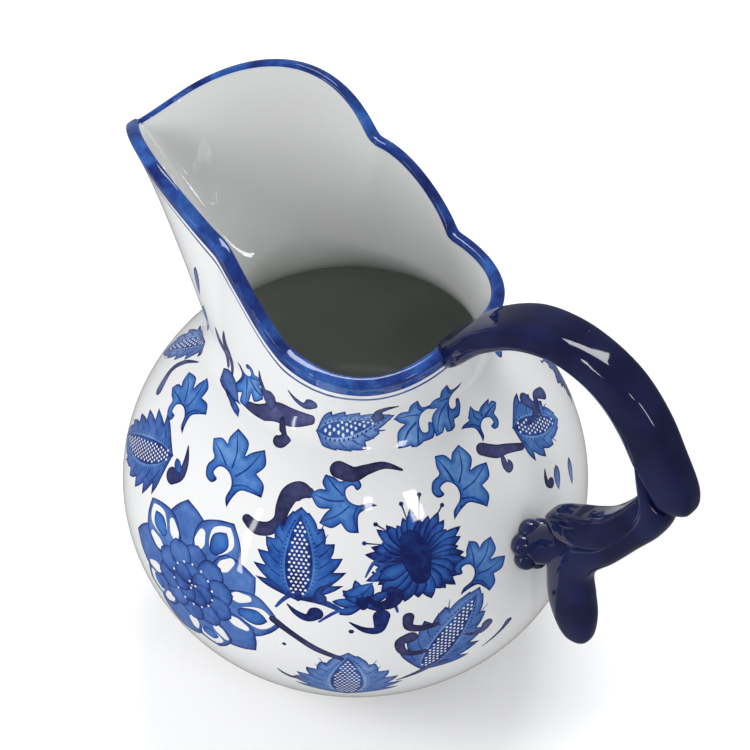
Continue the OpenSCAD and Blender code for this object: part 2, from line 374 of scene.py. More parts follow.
def great_blossom(azimuth, level, turn, radius, flip=1):
    """A full flower head: three rings of petals, white gaps between them and a dotted heart."""
    place = spot(azimuth, level, turn, flip)
    for k in range(10):
        angle = k * tau / 10
        size = 1 + 0.1 * sin(k * 2.4)
        lay(place, turned(petal(radius * 0.3, radius * size, radius * 0.31, 0.9), angle), 0.52, 0.46,
            indigo=0.25, edge=0.75)
        if k % 2:
            lay(place, turned(petal(radius * 0.62, radius * (size - 0.07), radius * 0.15, 0.8), angle), 0.0)
            lay(place, turned(petal(radius * 0.6, radius * (size - 0.15), radius * 0.11, 0.8), angle), 0.5,
                edge=0.6)
    for k in range(10):
        angle = (k + 0.5) * tau / 10
        oval = ribbon([(0, radius * 0.52, radius * 0.03), (0, radius * 0.6, radius * 0.07),
                       (0, radius * 0.72, radius * 0.045)], 0.7)
        lay(place, turned(oval, angle), 0.02, edge=0.0)
        lay(place, turned(petal(radius * 0.16, radius * 0.55, radius * 0.165, 0.2), angle), 0.56, 0.5,
            indigo=0.25, edge=0.6)
    for k in range(7):
        angle = (k + 0.25) * tau / 7
        lay(place, turned(petal(radius * 0.02, radius * 0.3, radius * 0.12, 0.1), angle), 0.66, 0.5,
            indigo=0.25, edge=0.5)
    rings = [(r * cos(a), r * sin(a)) for r, n in ((radius * 0.28, 14), (radius * 0.05, 3))
             for a in np.arange(n) * tau / n]
    spray_dots(place, rings, 0.04, 0.42)


def thistle(azimuth, level, turn, radius, flip=1):
    """A dark-hearted flower with ragged petals all round and fine stamens above."""
    place = spot(azimuth, level, turn, flip)
    for k, (angle, long) in enumerate(((-0.75, 1.12), (-0.2, 1.2), (0.1, 1.32), (0.5, 1.18), (-1.15, 1.1))):
        tip = turned(np.array([[0, radius * long]]), angle)[0]
        foot = turned(np.array([[0, radius * 0.5]]), angle * 0.7)[0]
        lay(place, ribbon([(*foot, 0.3), (*(foot * 0.4 + tip * 0.6), 0.2), (*tip, 0.3)]), 0.85, fill=False)
        spray_dots(place, [tip], 0.9, 0.75)
    for k in range(26):
        angle = -2.1 + k * 4.6 / 25
        long = radius * (0.92 + 0.12 * sin(k * 1.9) + 0.05 * (k % 2))
        lay(place, turned(petal(radius * 0.25, long, radius * 0.13, 1.0), angle), 0.92 - 0.2 * (k % 2),
            0.5, edge=0.8)
    for k in range(9):
        angle = 2.0 + k * 2.3 / 8
        lay(place, turned(petal(radius * 0.2, radius * (0.86 + 0.1 * (k % 2)), radius * 0.17, 0.9), angle),
            0.74, 0.5, edge=0.8)
    spine = [(radius * 0.05, -radius * 0.34, radius * 0.2), (-radius * 0.03, radius * 0.1, radius * 0.3),
             (-radius * 0.12, radius * 0.42, radius * 0.22)]
    lay(place, ribbon(spine), 0.98, 0.9, edge=0.2)


def small_bloom(azimuth, level, turn, size, flip=1):
    place = spot(azimuth, level, turn, flip)
    for k, angle in enumerate((-1.9, -1.3, -0.7, -0.1, 0.5, 1.2, 1.9)):
        lay(place, turned(petal(0.5, size * (0.52 + 0.08 * (k % 2)), size * 0.11, 0.9), angle), 0.7, 0.5,
            edge=0.8)
    lay(place, petal(-size * 0.12, size * 0.2, size * 0.12), 0.88, edge=0.4)


def twig(azimuth, level, turn, length, width=0.5, tone=0.66, bow=0.15, flip=1, indigo=0.5):
    points = [(0, 0, width * 0.5), (bow * length, length * 0.5, width), (0, length, width * 0.6)]
    lay(spot(azimuth, level, turn, flip), ribbon(points), tone, indigo=indigo, fill=False)


def blade(azimuth, level, turn, length, width, bend=0.15, tone=0.42, indigo=0.2, flip=1):
    lay(spot(azimuth, level, turn, flip), plain_leaf(length, width, bend), tone + 0.14, tone - 0.08,
        indigo=indigo, edge=0.6)


S_SCROLL = [(0, 0, 1.6), (3.4, 1.6, 2.2), (5.2, 5.2, 2.1), (4.2, 9, 1.8), (1.2, 12, 2.3), (-1.2, 15.4, 2.8),
            (-1, 18.6, 2.9), (0.6, 20.6, 1.7)]


FAR_SIDE_START = 38
FAR_SIDE_SPACING = 0.74


def one_side(side):
    """The flowers of one side: 1 is the near side, and -1 the far side, mirrored and set closer together."""
    def a(azimuth):
        return azimuth if side == 1 else FAR_SIDE_START - FAR_SIDE_SPACING * azimuth

    def t(turn):
        return turn * side

    great_blossom(a(-89.5), 0.56, t(-20), 28.5, side)
    notched_leaf(a(-111), 0.785, t(-121), 41, 12, 6, 0.16, -side, 0.5, 0.2)
    turned_leaf(a(-113), 0.835, t(-60), 21, side)
    turned_leaf(a(-86), 0.78, t(-23), 24, side, 0.4)
    comma(a(-108), 0.83, t(174), 14, 2.8, -side, 0.8, 0.8)
    blade(a(-109), 0.79, t(118), 6, 1.5, 0.1, 0.5, 0, side)
    scroll(a(-79), 0.78, t(42), S_SCROLL, side, 0.86)
    notched_leaf(a(-61.5), 0.64, t(-6), 30, 12, 6, 0.03, side, 0.56)
    twig(a(-61), 0.66, t(-136), 10, 0.7, 0.7, 0.1, side, 0.1)
    comma(a(-64), 0.625, t(100), 11, 2.4, side, 0.9, 0.2)
    twig(a(-62), 0.645, t(100), 15, 1.1, 0.85, -0.1, side, 0.1)
    turned_leaf(a(-42), 0.86, t(-75), 19.5, -side)
    thistle(a(-32), 0.738, t(3), 15, side)
    notched_leaf(a(-31), 0.42, t(30), 36, 12, 5, -0.16, side, 0.46, 0.3)
    notched_leaf(a(-49), 0.3, t(0), 31, 14.5, 6, 0.0, side, 0.4, 0.3)
    scroll(a(-67), 0.575, t(118), [(0, 0, 1.3), (0.8, 8, 1.1), (1.6, 16, 1.2), (1.2, 24, 1)], side, 0.78)
    small_bloom(a(-46), 0.645, t(-10), 15, side)
    twig(a(-47), 0.64, t(-120), 13, 0.6, 0.7, 0.1, side, 0.1)
    twig(a(-41), 0.67, t(150), 8, 0.6, 0.7, -0.1, side, 0.1)
    comma(a(-49), 0.6, t(76), 12, 2.6, side, 0.92, 0.15, 0.4)
    comma(a(-53.5), 0.69, t(-150), 8, 1.8, side, 0.84, 0.3)
    blade(a(-51), 0.665, t(60), 10, 1.7, 0.2, 0.5, 0, side)
    scroll(a(-45), 0.665, t(100), [(0, 0, 0.5), (2.4, 3, 1.1), (1.8, 6.5, 2), (-1.2, 8, 2.6),
                                   (-3, 6.4, 1.4)], side, 0.95, 0.2)
    twig(a(-45.5), 0.71, t(38), 10, 0.55, 0.7, -0.1, side, 0.1)
    twig(a(-44), 0.7, t(42), 10, 0.55, 0.7, -0.1, side, 0.1)
    scroll(a(-35.5), 0.585, t(98), [(-3, 0, 1.8), (0.6, 0.6, 1.5), (1.6, 4, 1.3), (0.6, 9, 0.9)], side, 0.78)
    scroll(a(-36.5), 0.53, t(98), [(-3, 2, 2.2), (-1, -0.8, 1.7), (3, 0.4, 1.4), (4.6, 4, 1.2),
                                   (4, 8, 0.9)], side, 0.8)
    comma(a(-21), 0.515, t(86), 9.5, 2, side, 0.66)
    scroll(a(-37), 0.385, t(56), [(0, 0, 0.3), (0.4, 6, 1), (0.6, 12, 1.2), (2.2, 16, 0.9)], side, 0.66, 0.8)
    comma(a(-15.5), 0.435, t(50), 13, 1.4, side, 0.56, 0.8, 0.05)
    for azimuth, level, size in ((-64, 0.51, 0.75), (-43.6, 0.72, 0.5), (-48.5, 0.575, 0.9)):
        spray_dots(spot(a(azimuth), level), [(0, 0)], 0.9, size)
    comma(a(-66), 0.4, t(112), 9, 1.6, side, 0.6)
    scroll(a(-55), 0.93, t(80), [(0, 0, 2.6), (1.6, 4, 2.3), (0.4, 8, 1.6), (-0.6, 13, 1.1),
                                 (1, 18, 0.4)], side, 0.86)
    scroll(a(-103), 1.01, t(81), [(0, 0, 0.7), (0.8, 6, 1.6), (-0.4, 13, 1.9), (0, 20, 1.8), (0, 26, 1.1)],
           side, 0.68)
    scroll(a(-82), 1.07, t(150), [(0, 0, 0.8), (-0.6, 4, 1.2), (0.6, 7, 2), (2.4, 8.4, 2.2)], side, 0.72)
    notched_leaf(a(-66), 1.1, t(77), 24, 5.5, 5, 0.05, side, 0.32, 0.3)
    comma(a(-32), 1.46, t(-120), 9, 2, side, 0.68, 0.8)
    turned_leaf(a(-14), 1.29, t(-126), 15.5, side, 0.34)
    turned_leaf(a(1), 1.32, t(-130), 15, side, 0.4)
    turned_leaf(a(-113), 1.21, t(102), 14, side, 0.36)
    comma(a(-97.5), 1.35, t(139), 10, 2.1, side, 0.68, 0.9)
    comma(a(-81), 1.44, t(96), 10, 2, side, 0.66, 0.8)
    scroll(a(-131), 1.28, t(132), [(0, 0, 0.5), (1.2, 4, 1.5), (-0.4, 8, 1.3), (0, 12.5, 0.7)], side, 0.62)
    scroll(a(-124), 1.34, t(150), [(0, 0, 0.5), (1.8, 4, 1.6), (0.6, 8, 1.4), (0, 14, 0.5)], side, 0.66)
    blade(a(-137), 1.6, t(-168), 14, 1.2, 0.05, 0.34, 0.7, side)
    blade(a(-139), 1.34, t(-170), 15, 1.9, 0.05, 0.36, 0.3, side)
    blade(a(-121.5), 1.07, t(107), 15, 3, 0.2, 0.42, 0.4, side)
    blade(a(-114), 0.995, t(112), 12, 1.9, 0.1, 0.45, 0.1, side)
    comma(a(-135), 0.95, t(-176), 20, 2, side, 0.62, 0.9)


one_side(1)
one_side(-1)
notched_leaf(-142, 1.04, -158, 32, 6.5, 5, 0.1, 1, 0.34, 0.5)
notched_leaf(122, 1.02, 150, 26, 6.5, 5, 0.1, -1, 0.36, 0.4)
turned_leaf(-20, 0.8, 20, 22.5, 1, 0.38)
turned_leaf(-22, 0.63, 36, 20, 1, 0.44)
turned_leaf(0, 0.915, 42, 16, -1, 0.36)
notched_leaf(14, 0.89, 122, 24, 9.5, 4, 0.1, 1, 0.42, 0.1)
comma(19, 0.87, 62, 11, 2.3, 1, 0.66, 0.7, 0.4)
comma(27, 0.83, 68, 12, 2.2, 1, 0.7, 0.8, -0.3)
scroll(-2, 0.905, 120, [(0, 0, 2), (0.8, 5, 2.1), (0, 9, 1.6), (-0.6, 15, 1.2)], 1, 0.7)
comma(4, 0.875, -172, 7, 2.1, 1, 0.62, 1, 0.1)
comma(15, 0.77, -176, 7, 1.8, 1, 0.72, 0.9)
blade(20, 0.75, -150, 8, 1.8, 0.1, 0.3, 0.5)
blade(27, 0.72, -150, 9, 1.6, 0.1, 0.3, 0.5)
notched_leaf(180, 0.42, 0, 34, 11, 6, 0.0, 1, 0.5)
comma(172, 0.8, -20, 12, 2.4, 1, 0.7)
comma(-172, 0.8, 20, 12, 2.4, -1, 0.7)


def plane(line):
    """Degrees and level as a flat sheet in about mm, for cutting it into triangles."""
    level = line[:, 1]
    return np.stack([line[:, 0] * DEGREE, np.where(level < 1, level * GLOBE_SPAN,
                                                   GLOBE_SPAN + (level - 1) * NECK_SPAN)], 1)


def off_plane(flat):
    level = np.where(flat[:, 1] < GLOBE_SPAN, flat[:, 1] / GLOBE_SPAN,
                     1 + (flat[:, 1] - GLOBE_SPAN) / NECK_SPAN)
    return np.radians(flat[:, 0] / DEGREE + SEAM), level


def within(points, outline):
    """Which points lie inside a closed outline, by winding."""
    low, high = outline.min(0), outline.max(0)
    near = np.flatnonzero(((points >= low) & (points <= high)).all(1))
    a, b = outline, np.roll(outline, -1, 0)
    p = points[near][:, None]
    side = (b[:, 0] - a[:, 0]) * (p[..., 1] - a[:, 1]) - (p[..., 0] - a[:, 0]) * (b[:, 1] - a[:, 1])
    rising = (a[:, 1] <= p[..., 1]) & (b[:, 1] > p[..., 1]) & (side > 0)
    falling = (a[:, 1] > p[..., 1]) & (b[:, 1] <= p[..., 1]) & (side < 0)
    return near[(rising.sum(1) - falling.sum(1)) != 0]


def gap_to(points, outline):
    """Shortest distance in mm from points in space to a closed line."""
    a, b = outline, np.roll(outline, -1, 0)
    d = b - a
    length = np.maximum((d * d).sum(1), 1e-9)
    p = points[:, None]
    t = np.clip(((p - a) * d).sum(-1) / length, 0, 1)[..., None]
    return np.linalg.norm(p - a - d * t, axis=-1).min(1)


def sheet_rows():
    """Rows of plain points over the body: [level, points round it], close together at the join."""
    rows = [(level, 180) for level in np.linspace(0, 0.93, 46)[1:]]
    rows += [(level, 240) for level in np.linspace(0.937, 1.3, 30)]
    rows += [(level, 360) for level in np.linspace(1.33, 1.97, 17)]
    return [(0.0, RIM_POINTS)] + rows + [(2.0, RIM_POINTS)]


grid = []
for row, (level, count) in enumerate(sheet_rows()):
    half = 0.5 * (row % 2) if 0 < level < 2 else 0.0
    degrees = np.unique(np.concatenate([[0, 360], (np.arange(count) + half) * 360 / count]))
    grid.append(np.stack([degrees, np.full(len(degrees), level)], 1))
flat_points = [plane(np.vstack(grid))]
fine_levels = np.concatenate([np.arange(0.02, 1, 1.1 / GLOBE_SPAN), np.arange(1.01, 1.97, 0.03)])
fine = []
for row, level in enumerate(fine_levels):
    radius = float(profile(np.array(-pi / 2), np.array(level))[0])
    count = int(tau * radius / 1.15)
    fine.append(np.stack([(np.arange(count) + 0.5 * (row % 2)) * 360 / count, np.full(count, level)], 1))
fine = plane(np.vstack(fine))
edges = []
total = len(flat_points[0])
for stroke in strokes:
    stroke["flat"] = plane(stroke["line"])
    stroke["space"] = skin(np.radians(stroke["line"][:, 0] + SEAM), stroke["line"][:, 1])
    count = len(stroke["flat"])
    flat_points.append(stroke["flat"])
    edges += [(total + i, total + (i + 1) % count) for i in range(count)]
    total += count
    if stroke["fill"]:
        inside = within(fine, stroke["flat"])
        clear = gap_to(skin(*off_plane(fine[inside])), stroke["space"]) > 0.45
        flat_points.append(fine[inside[clear]])
        total += clear.sum()
flat_points = np.vstack(flat_points)
cut = geometry.delaunay_2d_cdt([Vector(p) for p in flat_points], edges, [], 0, 1e-5, False)
flat = np.array([tuple(v) for v in cut[0]])
triangles = np.array([f for f in cut[2] if len(f) == 3])

# Each triangle takes the topmost stroke over its middle, so the washes meet at crisp edges.
triangle_middles = flat[triangles].mean(1)
owner = np.full(len(triangles), -1)
for index, stroke in enumerate(strokes):
    owner[within(triangle_middles, stroke["flat"])] = index
paint = np.zeros((len(triangles), 3, 4))
sheet_angle, sheet_level = off_plane(flat)
sheet_space = skin(sheet_angle, sheet_level)
for index, stroke in enumerate(strokes):
    mine = np.flatnonzero(owner == index)
    if not len(mine):
        continue
    corners_used, where = np.unique(triangles[mine], return_inverse=True)
    place = sheet_space[corners_used]
    foot, tip = skin(np.radians(stroke["ends"][:, 0] + SEAM), stroke["ends"][:, 1])
    along = np.clip((place - foot) @ (tip - foot) / max(((tip - foot) ** 2).sum(), 1e-6), 0, 1)
    edge = gap_to(place, stroke["space"]) / 4 if stroke["fill"] else np.zeros(len(place))
    values = np.stack([stroke["tone"] + (stroke["tip_tone"] - stroke["tone"]) * along,
                       np.clip(edge, 0, 1), np.full(len(place), stroke["indigo"]),
                       np.full(len(place), stroke["edge"])], 1)
    paint[mine] = values[where.reshape(len(mine), 3)]

# The rest of the wall: over the edge, down the inside, across the floor and back under the foot.
seam_pair = np.flatnonzero(np.isclose(flat[:, 0], 360 * DEGREE))
left_edge = np.flatnonzero(np.isclose(flat[:, 0], 0))
matches = np.abs(flat[seam_pair, 1][:, None] - flat[left_edge, 1]).argmin(1)
merged = np.arange(len(flat))
merged[seam_pair] = left_edge[matches]
sheet_triangles = merged[triangles]
ring_order = []
for level_line in (0.0, GLOBE_SPAN + NECK_SPAN):
    on_line = np.flatnonzero(np.isclose(flat[:, 1], level_line) & (flat[:, 0] < 360 * DEGREE - 1e-6))
    ring_order.append(on_line[np.argsort(flat[on_line, 0])])
foot_ring_points, top_ring_points = ring_order
ring_angles = np.radians(np.arange(RIM_POINTS) * 360 / RIM_POINTS + SEAM)
INSIDE_LEVELS = np.concatenate([np.linspace(2, 1.35, 16), np.linspace(1.3, 0.9, 22),
                                np.linspace(0.86, 0, 34)])


def at_level(surface, level):
    """A ring of points or directions of the wall, all at one level."""
    return surface(ring_angles, np.full(RIM_POINTS, level))


inside_rings = [at_level(skin, v) - WALL * at_level(skin_normal, v) for v in INSIDE_LEVELS]


def flat_ring(radius, height):
    return np.stack([radius * np.cos(ring_angles), radius * np.sin(ring_angles),
                     np.full(RIM_POINTS, float(height))], -1)


def bowl_height(radius, thick):
    inner = (GLOBE_RADIUS - thick) ** 2 - radius**2
    return BELLY_HEIGHT - (LOWER_DEPTH - thick) * np.sqrt(inner) / (GLOBE_RADIUS - thick)


under_height = bowl_height(FLOOR_RADIUS, 0)
for radius in (34.0, 31.0, 28.4):
    inside_rings.append(flat_ring(radius, max(bowl_height(radius, WALL), under_height + WALL)))
inside_rings += [flat_ring(radius, under_height + WALL) for radius in (22.0, 14.0, 6.0)]
under_rings = [flat_ring(radius, bowl_height(radius, 0)) for radius in (36.5, 34.0, 31.5, FLOOR_RADIUS)]
under_rings += [flat_ring(radius, under_height) for radius in (20.0, 10.0)]

body_points = [sheet_space]
body_faces = [tuple(f) for f in sheet_triangles if len(set(f)) == 3]
sheet_kept = [i for i, f in enumerate(sheet_triangles) if len(set(f)) == 3]


def ring_walk(start_ring, rings, first, outward):
    """Quads from one ring of points through more rings to a closing point in the middle."""
    faces, last = [], np.array(start_ring)
    turn = np.roll(np.arange(RIM_POINTS), -1)
    for k in range(len(rings)):
        ring = first + k * RIM_POINTS + np.arange(RIM_POINTS)
        for i, j in zip(range(RIM_POINTS), turn):
            quad = (last[i], last[j], ring[j], ring[i])
            faces.append(quad if outward else quad[::-1])
        last = ring
    pole = first + len(rings) * RIM_POINTS
    for i, j in zip(range(RIM_POINTS), turn):
        faces.append((last[i], last[j], pole) if outward else (last[j], last[i], pole))
    return faces


count = len(sheet_space)
body_points += inside_rings + [np.array([[0, 0, under_height + WALL]])]
body_faces += ring_walk(top_ring_points, inside_rings, count, True)
count += len(inside_rings) * RIM_POINTS + 1
body_points += under_rings + [np.array([[0, 0, under_height]])]
body_faces += ring_walk(foot_ring_points, under_rings, count, False)
body_points = np.vstack(body_points)


def new_piece(name, points, faces):
    """A smooth mesh piece from points in mm and faces."""
    mesh = bpy.data.meshes.new(name)
    mesh.from_pydata((np.array(points) * MM).tolist(), [], [tuple(int(i) for i in f) for f in faces])
    mesh.validate()
    mesh.shade_smooth()
    piece = bpy.data.objects.new(name, mesh)
    bpy.context.scene.collection.objects.link(piece)
    return piece


# Points that the seam has freed are left out before the mesh is made.
used = np.zeros(len(body_points), bool)
used[np.unique(np.concatenate([np.array(f) for f in body_faces]))] = True
renumber = np.cumsum(used) - 1
sheet_count = int(used[:len(sheet_space)].sum())
body_faces = [tuple(renumber[list(f)]) for f in body_faces]
body = new_piece("thrown_body", body_points[used], body_faces)

paint_values = np.zeros((len(body.data.loops), 4), np.float32)
paint_values[:len(sheet_kept) * 3] = paint[sheet_kept].reshape(-1, 4)
layer = body.data.color_attributes.new("paint", "FLOAT_COLOR", "CORNER")
layer.data.foreach_set("color", paint_values.ravel())
under_rim = np.full(len(body.data.vertices), 60.0, np.float32)
neck_part = sheet_level[used[:len(sheet_space)]]
neck_angles = sheet_angle[used[:len(sheet_space)]]
under_rim[:sheet_count] = RIM_HEIGHT + (2 - neck_part) * neck_length(neck_angles)
layer = body.data.attributes.new("under_rim", "FLOAT", "POINT")
layer.data.foreach_set("value", under_rim)
inside_mark = np.zeros(len(body.data.vertices), np.float32)
inside_mark[sheet_count:sheet_count + len(inside_rings) * RIM_POINTS + 1] = 1.0
layer = body.data.attributes.new("inside", "FLOAT", "POINT")
layer.data.foreach_set("value", inside_mark)
normals = np.array([point.normal for point in body.data.vertices], float)
normals[:sheet_count] = skin_normal(neck_angles, neck_part)
first_ring = sheet_count
for k, level in enumerate(INSIDE_LEVELS):
    start = first_ring + k * RIM_POINTS
    normals[start:start + RIM_POINTS] = -at_level(skin_normal, level)
body.data.normals_split_custom_set_from_vertices(normals.tolist())


# Cobalt comes out of the kiln pale where the brush was wet and nearly black where the colour pooled.
def ramp(node, stops):
    elements = node.color_ramp.elements
    elements[0].position, elements[0].color = stops[0][0], (*stops[0][1], 1)
    elements[1].position, elements[1].color = stops[-1][0], (*stops[-1][1], 1)
    for position, colour in stops[1:-1]:
        elements.new(position).color = (*colour, 1)


def node_group(name, inputs, outputs):
    tree = bpy.data.node_groups.new(name, "ShaderNodeTree")
    for label, kind, value in inputs:
        socket = tree.interface.new_socket(label, in_out="INPUT", socket_type=kind)
        if value is not None:
            socket.default_value = value
    for label, kind in outputs:
        tree.interface.new_socket(label, in_out="OUTPUT", socket_type=kind)
    return tree, tree.nodes.new("NodeGroupInput"), tree.nodes.new("NodeGroupOutput")


class Wiring:
    """Short ways to add nodes to a tree and join them."""

    def __init__(self, tree):
        self.tree = tree

    def join(self, source, target):
        self.tree.links.new(source, target)

    def node(self, kind, inputs=None, **settings):
        """Adds a node. Each input, by name or number, takes another node's output or a value."""
        made = self.tree.nodes.new(kind)
        for key, value in settings.items():
            setattr(made, key, value)
        for label, value in (inputs or {}).items():
            if isinstance(value, bpy.types.NodeSocket):
                self.join(value, made.inputs[label])
            else:
                made.inputs[label].default_value = value
        return made

    def math(self, operation, a, b=0.0, clamp=False):
        return self.node("ShaderNodeMath", {0: a, 1: b}, operation=operation, use_clamp=clamp).outputs[0]

    def fade(self, value, start, end, low=0.0, high=1.0):
        numbers = dict(enumerate((value, start, end, low, high)))
        return self.node("ShaderNodeMapRange", numbers, interpolation_type="SMOOTHSTEP").outputs[0]

    def mix(self, share, a, b):
        return self.node("ShaderNodeMix", {0: share, 6: a, 7: b}, data_type="RGBA").outputs[2]

    def noise(self, place, scale, detail=2.0, rough=0.5):
        return self.node("ShaderNodeTexNoise", {"Vector": place, "Scale": scale, "Detail": detail,
                                                "Roughness": rough}).outputs[0]

    def place(self):
        return self.node("ShaderNodeTexCoord").outputs["Object"]

    def read(self, name, output="Fac"):
        return self.node("ShaderNodeAttribute", attribute_name=name).outputs[output]


COBALT_STOPS = [(0.0, (0.62, 0.66, 0.73)), (0.1, (0.38, 0.50, 0.70)), (0.24, (0.14, 0.29, 0.56)),
                (0.4, (0.046, 0.148, 0.42)), (0.56, (0.021, 0.09, 0.33)), (0.74, (0.008, 0.035, 0.19)),
                (1.0, (0.003, 0.008, 0.075))]
INDIGO_STOPS = [(0.0, (0.62, 0.66, 0.73)), (0.15, (0.38, 0.41, 0.55)), (0.35, (0.15, 0.17, 0.33)),
                (0.6, (0.052, 0.058, 0.155)), (0.8, (0.026, 0.027, 0.082)), (1.0, (0.009, 0.010, 0.04))]

cobalt_tree, cobalt_in, cobalt_out = node_group(
    "cobalt colour",
    [("Amount", "NodeSocketFloat", 0.5), ("Greyness", "NodeSocketFloat", 0.0),
     ("Glaze", "NodeSocketColor", (0.8, 0.82, 0.84, 1))],
    [("Color", "NodeSocketColor")])
w = Wiring(cobalt_tree)
cobalt_place = w.place()
pooled = w.noise(cobalt_place, 150, 2)
streaks = w.noise(cobalt_place, 620, 3, 0.6)
specks = w.noise(cobalt_place, 2600, 2, 0.7)
worked = w.math("MULTIPLY", cobalt_in.outputs["Amount"], w.fade(pooled, 0.3, 0.7, 0.86, 1.14))
worked = w.math("MULTIPLY", worked, w.fade(streaks, 0.3, 0.7, 0.93, 1.07))
worked = w.math("MULTIPLY", worked, w.fade(specks, 0.25, 0.75, 0.97, 1.03), clamp=True)
bright = w.node("ShaderNodeValToRGB", {0: worked})
ramp(bright, COBALT_STOPS)
grey = w.node("ShaderNodeValToRGB", {0: worked})
ramp(grey, INDIGO_STOPS)
blue = w.mix(cobalt_in.outputs["Greyness"], bright.outputs[0], grey.outputs[0])
shown = w.fade(worked, 0.0, 0.12)
w.join(w.mix(shown, cobalt_in.outputs["Glaze"], blue), cobalt_out.inputs["Color"])

# The clear glaze over it is glossy and very slightly rippled, with a few pinholes and a cool cast.
glaze_tree, glaze_in, glaze_out = node_group(
    "clear glaze",
    [("Tint", "NodeSocketColor", (0.8, 0.82, 0.84, 1)), ("Ripple", "NodeSocketFloat", 1.0),
     ("Dust", "NodeSocketFloat", 0.02)],
    [("Color", "NodeSocketColor"), ("Roughness", "NodeSocketFloat"), ("Height", "NodeSocketFloat")])
w = Wiring(glaze_tree)
glaze_place = w.place()
cloud = w.noise(glaze_place, 28, 3)
fine_cloud = w.noise(glaze_place, 700, 2)
thick = w.mix(w.fade(cloud, 0.3, 0.7, 0.0, 0.25), glaze_in.outputs["Tint"], (0.66, 0.67, 0.68, 1))
pinholes = w.node("ShaderNodeTexVoronoi", {"Vector": glaze_place, "Scale": 95})
pinhole = w.fade(pinholes.outputs["Distance"], 0.02, 0.035, 1.0, 0.0)
w.join(w.mix(w.math("MULTIPLY", pinhole, 0.35), thick, (0.45, 0.42, 0.38, 1)), glaze_out.inputs["Color"])
w.join(w.math("ADD", w.math("MULTIPLY", fine_cloud, glaze_in.outputs["Dust"]), 0.045),
       glaze_out.inputs["Roughness"])
swell = w.math("ADD", w.math("MULTIPLY", w.noise(glaze_place, 55, 1), 0.8),
               w.math("MULTIPLY", w.noise(glaze_place, 260, 2), 0.12))
w.join(w.math("SUBTRACT", w.math("MULTIPLY", swell, glaze_in.outputs["Ripple"]),
              w.math("MULTIPLY", pinhole, 0.15)), glaze_out.inputs["Height"])


def placed(w, tree, **values):
    return w.node("ShaderNodeGroup", values, node_tree=tree)


def new_material(name):
    material = bpy.data.materials.new(name)
    material.use_nodes = True
    return material, Wiring(material.node_tree), material.node_tree.nodes["Principled BSDF"]


def glazed(w, shader, colour, glaze, bump_depth):
    """Joins a colour and the glaze's roughness and ripple to a shader."""
    w.join(colour, shader.inputs["Base Color"])
    w.join(glaze.outputs["Roughness"], shader.inputs["Roughness"])
    bump = w.node("ShaderNodeBump", {"Strength": 1.0, "Distance": bump_depth,
                                     "Height": glaze.outputs["Height"]})
    w.join(bump.outputs["Normal"], shader.inputs["Normal"])
    shader.inputs["IOR"].default_value = 1.5


# The rim's cobalt runs over the roll and a little way down outside, with a fine line drawn under it.
band_tree, band_in, band_out = node_group(
    "rim band",
    [("Under Rim", "NodeSocketFloat", 0.0), ("Inner Edge", "NodeSocketFloat", -3.6),
     ("Band Edge", "NodeSocketFloat", 7.4), ("Line", "NodeSocketFloat", 10.2)],
    [("Amount", "NodeSocketFloat"), ("Greyness", "NodeSocketFloat")])
w = Wiring(band_tree)
band_place = w.place()
slow = w.noise(band_place, 45, 1)
quick_wave = w.noise(band_place, 260, 2)
wander = w.math("ADD", w.math("MULTIPLY", slow, 1.6), w.math("MULTIPLY", quick_wave, 0.3))
depth = w.math("SUBTRACT", w.math("ADD", band_in.outputs["Under Rim"], 0.95), wander)
outer = w.fade(w.math("SUBTRACT", depth, band_in.outputs["Band Edge"]), -0.35, 0.3, 1.0, 0.0)
inner = w.fade(w.math("SUBTRACT", band_in.outputs["Under Rim"], band_in.outputs["Inner Edge"]), -0.3, 0.3)
edge_pool = w.fade(w.math("SUBTRACT", depth, band_in.outputs["Band Edge"]), -1.4, -0.3, 0.0, 0.16)
strength = w.math("ADD", w.fade(w.noise(band_place, 70, 2), 0.3, 0.7, 0.58, 0.84), edge_pool)
band = w.math("MULTIPLY", w.math("MULTIPLY", outer, inner), strength)
off_line = w.math("ABSOLUTE", w.math("SUBTRACT", depth, band_in.outputs["Line"]))
line = w.math("MULTIPLY", w.fade(off_line, 0.4, 0.75, 1.0, 0.0), w.fade(slow, 0.3, 0.7, 0.36, 0.62))
w.join(w.math("MAXIMUM", band, line), band_out.inputs["Amount"])
w.join(w.fade(depth, 6.5, 8.0, 0.1, 0.6), band_out.inputs["Greyness"])

PORCELAIN = (0.70, 0.70, 0.70, 1)
painted_porcelain, w, shader = new_material("painted porcelain")
edge_strength = w.read("paint", "Alpha")
split = w.node("ShaderNodeSeparateColor", {0: w.read("paint", "Color")})
tone, edge_gap, greyness = split.outputs[0], split.outputs[1], split.outputs[2]
painted_here = w.fade(tone, 0.06, 0.1)
line_drawn = w.math("MULTIPLY", w.fade(edge_gap, 0.05, 0.15, 1.0, 0.0), edge_strength)
pooled_edge = w.math("MULTIPLY", w.fade(edge_gap, 0.1, 0.5, 0.12, -0.06), edge_strength)
amount = w.math("ADD", tone, w.math("MULTIPLY", line_drawn, 0.42))
amount = w.math("MULTIPLY", w.math("ADD", amount, pooled_edge), painted_here)
rim_band = placed(w, band_tree, **{"Under Rim": w.read("under_rim")})
on_band = w.fade(rim_band.outputs["Amount"], 0.02, 0.08)
height = w.node("ShaderNodeSeparateXYZ", {0: w.place()})
inside = w.read("inside")
# Painted shade: the inside is coloured greyer than the outside, and darker and greener below the throat
# towards the floor.
painted_inside_shade = w.mix(w.fade(height.outputs[2], 0.106, 0.13), (0.40, 0.425, 0.385, 1), (0.60, 0.605, 0.595, 1))
glaze = placed(w, glaze_tree, Tint=w.mix(inside, PORCELAIN, painted_inside_shade))
